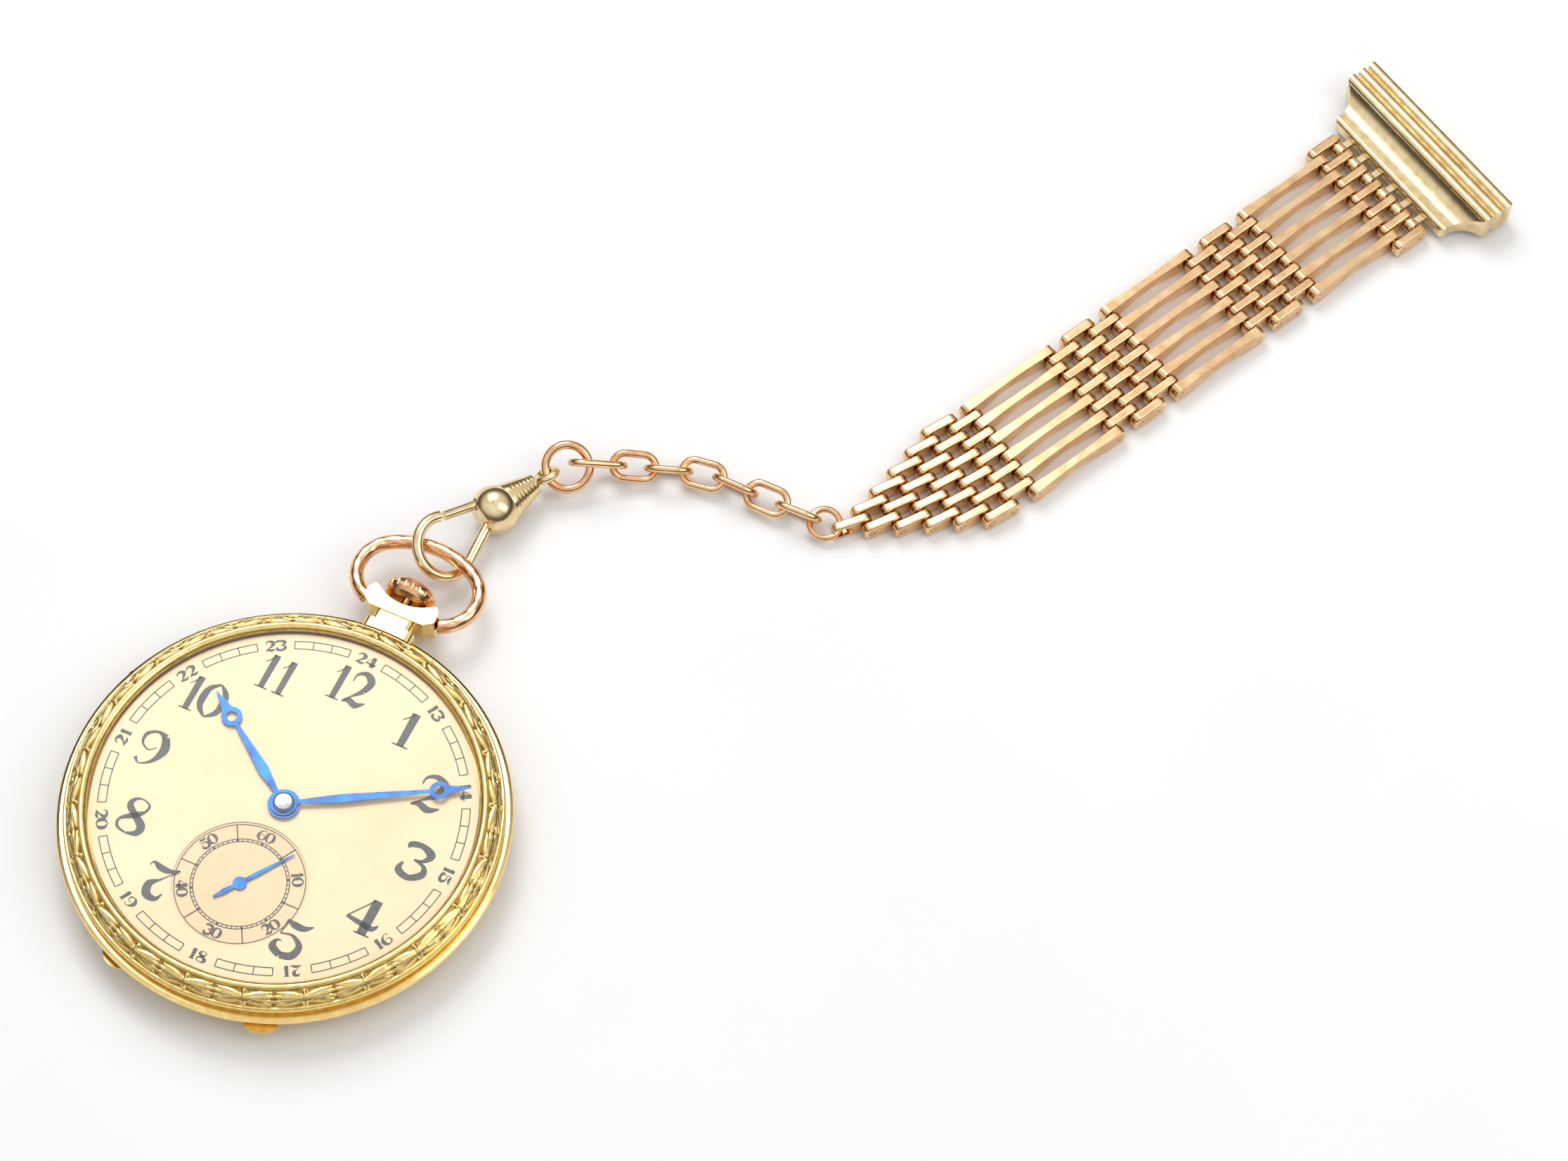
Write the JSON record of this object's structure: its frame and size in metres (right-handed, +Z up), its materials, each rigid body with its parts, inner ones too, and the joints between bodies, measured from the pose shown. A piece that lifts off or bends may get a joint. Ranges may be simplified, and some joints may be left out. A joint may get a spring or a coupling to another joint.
{
  "type": "pocket watch",
  "caption": "Open-face rose-gold pocket watch with small seconds, snap bezel, double hinged back, key-less winding movement, swivel hook, oval-link chain and tapered gate-link fob with a reeded clasp.",
  "frame": {"origin": "on the plane the watch lies on, under the centre of the dial", "axes": "+Z up through the dial, +Y to 12 o'clock and the pendant, +X to 3 o'clock"},
  "size_m": [0.1168, 0.1673, 0.0087],
  "materials": {
    "case_gold": "polished and engraved rose gold",
    "dial_white": "silvered white dial",
    "dark_hand": "blued-black steel hands",
    "crystal_glass": "clear polished mineral glass",
    "plate_gilt": "gilt, satin",
    "wheel_brass": "polished",
    "steel": "polished steel",
    "blued_steel": "blued",
    "chain_gold": "polished gold"
  },
  "bodies": {
    "case": {"case_band": "case_gold", "bezel": "case_gold", "crystal": "crystal_glass", "mainplate": "plate_gilt", "barrel_bridge": "plate_gilt", "train_bridge": "plate_gilt", "balance_cock": "plate_gilt", "pallet_cock": "plate_gilt", "movement_screws": "blued_steel", "dial": "dial_white", "hinge_pin": "case_gold", "mainspring": "steel"},
    "back": {"case_back": "case_gold"},
    "dust_cover": {"cuvette": "case_gold"},
    "pendant_bow": {"bow": "case_gold"},
    "crown_body": {"crown": "case_gold", "winding_stem": "steel"},
    "clutch": {"clutch_wheel": "steel", "winding_pinion": "steel"},
    "crown_wheel_body": {"crown_wheel": "steel"},
    "ratchet": {"ratchet_wheel": "steel", "barrel_arbor": "steel"},
    "click_body": {"click": "steel"},
    "barrel_body": {"barrel": "wheel_brass"},
    "centre": {"centre_wheel": "wheel_brass", "cannon_pinion": "steel", "minute_hand": "dark_hand"},
    "third": {"third_wheel": "wheel_brass"},
    "fourth": {"fourth_wheel": "wheel_brass", "seconds_hand": "dark_hand"},
    "escape": {"escape_wheel": "steel"},
    "pallet": {"pallet_fork": "steel"},
    "balance": {"balance_wheel": "wheel_brass", "hairspring": "blued_steel"},
    "minute_work": {"minute_wheel": "wheel_brass"},
    "hour_work": {"hour_wheel": "wheel_brass", "hour_hand": "dark_hand"},
    "swivel": {"swivel_hook": "chain_gold", "swivel_body": "chain_gold"},
    "gate": {"swivel_gate": "chain_gold"},
    "eye": {"swivel_eye": "chain_gold"},
    "ring": {"large_ring": "chain_gold"},
    "end_ring": {"small_ring": "chain_gold"},
    "tip": {"fob_tip": "chain_gold"},
    "panel_1": {"fob_panel_1": "chain_gold"},
    "gates_1": {"fob_gates_1": "chain_gold"},
    "panel_2": {"fob_panel_2": "chain_gold"},
    "gates_2": {"fob_gates_2": "chain_gold"},
    "panel_3": {"fob_panel_3": "chain_gold"},
    "gates_3": {"fob_gates_3": "chain_gold"},
    "end_row": {"fob_end_row": "chain_gold"},
    "clasp": {"fob_clasp": "chain_gold"},
    "clip": {"fob_clip": "chain_gold"},
    "link_1": {"chain_link_1": "chain_gold"},
    "link_2": {"chain_link_2": "chain_gold"},
    "link_3": {"chain_link_3": "chain_gold"},
    "link_4": {"chain_link_4": "chain_gold"},
    "link_5": {"chain_link_5": "chain_gold"},
    "link_6": {"chain_link_6": "chain_gold"},
    "link_7": {"chain_link_7": "chain_gold"}
  },
  "joints": [
    {"name": "back_cover_hinge", "type": "hinge", "parent": "case", "child": "back", "pos_m": [-0.02109, 0.01218, 0.00295], "axis": [0.5, 0.866, 0], "range_deg": [0, 100]},
    {"name": "cuvette_hinge", "type": "hinge", "parent": "case", "child": "dust_cover", "pos_m": [-0.02109, 0.01218, 0.00295], "axis": [0.5, 0.866, 0], "range_deg": [0, 70]},
    {"name": "balance_swing", "type": "hinge", "parent": "case", "child": "balance", "pos_m": [-0.0113, -0.0096, 0.003], "axis": [0, 0, 1], "range_deg": [-135, 135]},
    {"name": "bow_swing", "type": "hinge", "parent": "case", "child": "pendant_bow", "pos_m": [0, 0.0277, 0.004], "axis": [1, 0, 0], "range_deg": [-5, 75]},
    {"name": "centre_turn", "type": "hinge", "parent": "case", "child": "centre", "pos_m": [0, 0, 0.005], "axis": [0, 0, 1], "continuous": true},
    {"name": "crown_pull", "type": "slide", "parent": "clutch", "child": "crown_body", "axis": [0, 1, 0], "range_m": [0, 0.0009]},
    {"name": "crown_turn", "type": "hinge", "parent": "case", "child": "clutch", "pos_m": [0, 0.014, 0.004], "axis": [0, 1, 0], "continuous": true},
    {"name": "crown_wheel_turn", "type": "hinge", "parent": "case", "child": "crown_wheel_body", "pos_m": [0, 0.01244, 0.002], "axis": [0, 0, 1], "continuous": true},
    {"name": "ratchet_turn", "type": "hinge", "parent": "case", "child": "ratchet", "pos_m": [-0.00605, 0.00605, 0.002], "axis": [0, 0, 1], "continuous": true},
    {"name": "click_turn", "type": "hinge", "parent": "case", "child": "click_body", "pos_m": [-0.0129, 0.0094, 0.002], "axis": [0, 0, 1], "range_deg": [0, 8], "stiffness_Nm_per_rad": 0.000001},
    {"name": "barrel_turn", "type": "hinge", "parent": "case", "child": "barrel_body", "pos_m": [-0.00605, 0.00605, 0.003], "axis": [0, 0, 1], "continuous": true},
    {"name": "third_turn", "type": "hinge", "parent": "case", "child": "third", "pos_m": [0.00345, -0.00536, 0.003], "axis": [0, 0, 1], "continuous": true},
    {"name": "fourth_turn", "type": "hinge", "parent": "case", "child": "fourth", "pos_m": [0, -0.0102, 0.003], "axis": [0, 0, 1], "continuous": true},
    {"name": "escape_turn", "type": "hinge", "parent": "case", "child": "escape", "pos_m": [-0.0046, -0.0128, 0.003], "axis": [0, 0, 1], "continuous": true},
    {"name": "pallet_swing", "type": "hinge", "parent": "case", "child": "pallet", "pos_m": [-0.0077, -0.0112, 0.003], "axis": [0, 0, 1], "range_deg": [-4, 4]},
    {"name": "minute_work_turn", "type": "hinge", "parent": "case", "child": "minute_work", "pos_m": [-0.0027, -0.00156, 0.005], "axis": [0, 0, 1], "continuous": true},
    {"name": "hour_work_turn", "type": "hinge", "parent": "case", "child": "hour_work", "pos_m": [0, 0, 0.006], "axis": [0, 0, 1], "continuous": true},
    {"name": "swivel_swing", "type": "hinge", "parent": "pendant_bow", "child": "swivel", "pos_m": [0.00105, 0.03654, 0.00361], "axis": [0.9944, -0.1053, 0.0046], "range_deg": [-6, 20]},
    {"name": "gate_open", "type": "hinge", "parent": "swivel", "child": "gate", "pos_m": [0.00175, 0.0439, 0.00389], "axis": [0.5791, -0.085, 0.8108], "range_deg": [0, 11], "stiffness_Nm_per_rad": 0.0002},
    {"name": "eye_turn", "type": "hinge", "parent": "swivel", "child": "eye", "pos_m": [0.00528, 0.04828, 0.00285], "axis": [0.4501, 0.893, 0], "range_deg": [-30, 30]},
    {"name": "ring_hinge", "type": "hinge", "parent": "eye", "child": "ring", "pos_m": [0.00651, 0.05071, 0.00285], "axis": [-0.6129, 0.3089, 0.7273], "range_deg": [-15, 15]},
    {"name": "link_1_hinge", "type": "hinge", "parent": "ring", "child": "link_1", "pos_m": [0.01029, 0.0539, 0.00334], "axis": [-0.5109, 0.7032, 0.4944], "range_deg": [-12, 12]},
    {"name": "link_2_hinge", "type": "hinge", "parent": "link_1", "child": "link_2", "pos_m": [0.01362, 0.0559, 0.0022], "axis": [0.4719, -0.3147, 0.8236], "range_deg": [-10, 10]},
    {"name": "link_3_hinge", "type": "hinge", "parent": "link_2", "child": "link_3", "pos_m": [0.01696, 0.05725, 0.00186], "axis": [-0.2844, 0.8245, 0.4892], "range_deg": [-10, 10]},
    {"name": "link_4_hinge", "type": "hinge", "parent": "link_3", "child": "link_4", "pos_m": [0.02062, 0.05865, 0.00178], "axis": [0.1935, -0.4515, 0.871], "range_deg": [-10, 10]},
    {"name": "link_5_hinge", "type": "hinge", "parent": "link_4", "child": "link_5", "pos_m": [0.0245, 0.0592, 0.00176], "axis": [-0.1205, 0.8758, 0.4675], "range_deg": [-10, 10]},
    {"name": "link_6_hinge", "type": "hinge", "parent": "link_5", "child": "link_6", "pos_m": [0.02842, 0.05913, 0.00175], "axis": [-0.0065, -0.4392, 0.8984], "range_deg": [-10, 10]},
    {"name": "link_7_hinge", "type": "hinge", "parent": "link_6", "child": "link_7", "pos_m": [0.03234, 0.05906, 0.00175], "axis": [0.0158, 0.8982, 0.4394], "range_deg": [-10, 10]},
    {"name": "end_ring_hinge", "type": "hinge", "parent": "link_7", "child": "end_ring", "pos_m": [0.03626, 0.05913, 0.00175], "axis": [0.0079, -0.4466, 0.8947], "range_deg": [-8, 8]},
    {"name": "tip_hinge", "type": "hinge", "parent": "end_ring", "child": "tip", "pos_m": [0.03872, 0.05925, 0.00112], "axis": [0.0044, -0.9852, -0.1713], "range_deg": [0, 6]},
    {"name": "panel_1_hinge", "type": "hinge", "parent": "tip", "child": "panel_1", "pos_m": [0.04813, 0.07121, 0.00112], "axis": [0.8339, -0.5519, 0], "range_deg": [0, 20]},
    {"name": "gates_1_hinge", "type": "hinge", "parent": "panel_1", "child": "gates_1", "pos_m": [0.05123, 0.07647, 0.00112], "axis": [0.8572, -0.515, 0], "range_deg": [0, 20]},
    {"name": "panel_2_hinge", "type": "hinge", "parent": "gates_1", "child": "panel_2", "pos_m": [0.05653, 0.08723, 0.00112], "axis": [0.8788, -0.4772, 0], "range_deg": [0, 20]},
    {"name": "gates_2_hinge", "type": "hinge", "parent": "panel_2", "child": "gates_2", "pos_m": [0.06057, 0.09545, 0.00112], "axis": [0.8788, -0.4772, 0], "range_deg": [0, 20]},
    {"name": "panel_3_hinge", "type": "hinge", "parent": "gates_2", "child": "panel_3", "pos_m": [0.06587, 0.10621, 0.00112], "axis": [0.8788, -0.4772, 0], "range_deg": [0, 20]},
    {"name": "gates_3_hinge", "type": "hinge", "parent": "panel_3", "child": "gates_3", "pos_m": [0.0699, 0.11442, 0.00112], "axis": [0.8788, -0.4772, 0], "range_deg": [0, 20]},
    {"name": "end_row_hinge", "type": "hinge", "parent": "gates_3", "child": "end_row", "pos_m": [0.0752, 0.12519, 0.00112], "axis": [0.8788, -0.4772, 0], "range_deg": [0, 20]},
    {"name": "clasp_hinge", "type": "hinge", "parent": "end_row", "child": "clasp", "pos_m": [0.07655, 0.12793, 0.00112], "axis": [0.8788, -0.4772, 0], "range_deg": [0, 20]},
    {"name": "clip_hinge", "type": "hinge", "parent": "clasp", "child": "clip", "pos_m": [0.0806, 0.1354, 0.00145], "axis": [0.8788, -0.4772, 0], "range_deg": [0, 16], "stiffness_Nm_per_rad": 0.0002}
  ],
  "couplings": [
    {"joint": "cuvette_hinge", "follows": "back_cover_hinge", "ratio": 0.7},
    {"joint": "crown_wheel_turn", "follows": "crown_turn", "ratio": 0.4},
    {"joint": "ratchet_turn", "follows": "crown_turn", "ratio": -0.22857},
    {"joint": "centre_turn", "follows": "fourth_turn", "ratio": 0.016667},
    {"joint": "barrel_turn", "follows": "fourth_turn", "ratio": -0.0020833},
    {"joint": "third_turn", "follows": "fourth_turn", "ratio": -0.13333},
    {"joint": "escape_turn", "follows": "fourth_turn", "ratio": -10},
    {"joint": "minute_work_turn", "follows": "fourth_turn", "ratio": -0.0055556},
    {"joint": "hour_work_turn", "follows": "fourth_turn", "ratio": 0.0013889}
  ]
}
